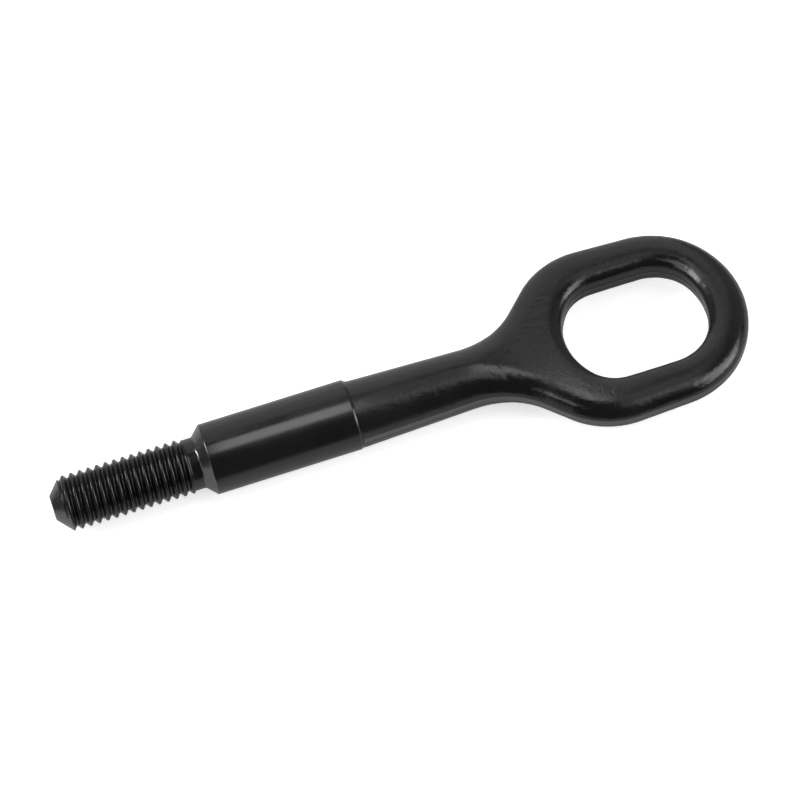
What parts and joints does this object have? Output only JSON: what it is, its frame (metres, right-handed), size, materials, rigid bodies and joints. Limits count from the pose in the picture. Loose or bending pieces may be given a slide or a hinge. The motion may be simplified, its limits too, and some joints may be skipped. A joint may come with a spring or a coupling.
{
  "type": "tow eye",
  "caption": "Screw-in tow eye: rounded oval ring on a tapering forged shank, with a turned guide collar, seating cone, plain neck and coarse left-hand threaded end.",
  "frame": {"origin": "on the axis of the guide collar, at the collar's front edge where the seating cone meets it", "axes": "X runs along the axis from the thread's tip towards the eye, Y is across the eye, Z is square to the plane of the eye, up as the part lies flat"},
  "size_m": [0.2035, 0.0591, 0.0204],
  "materials": {
    "black_steel": "thin semi-gloss black coating, smooth on the turned parts and slightly grainy on the forged parts"
  },
  "bodies": {
    "root": {"tow_eye": "black_steel"}
  },
  "joints": []
}
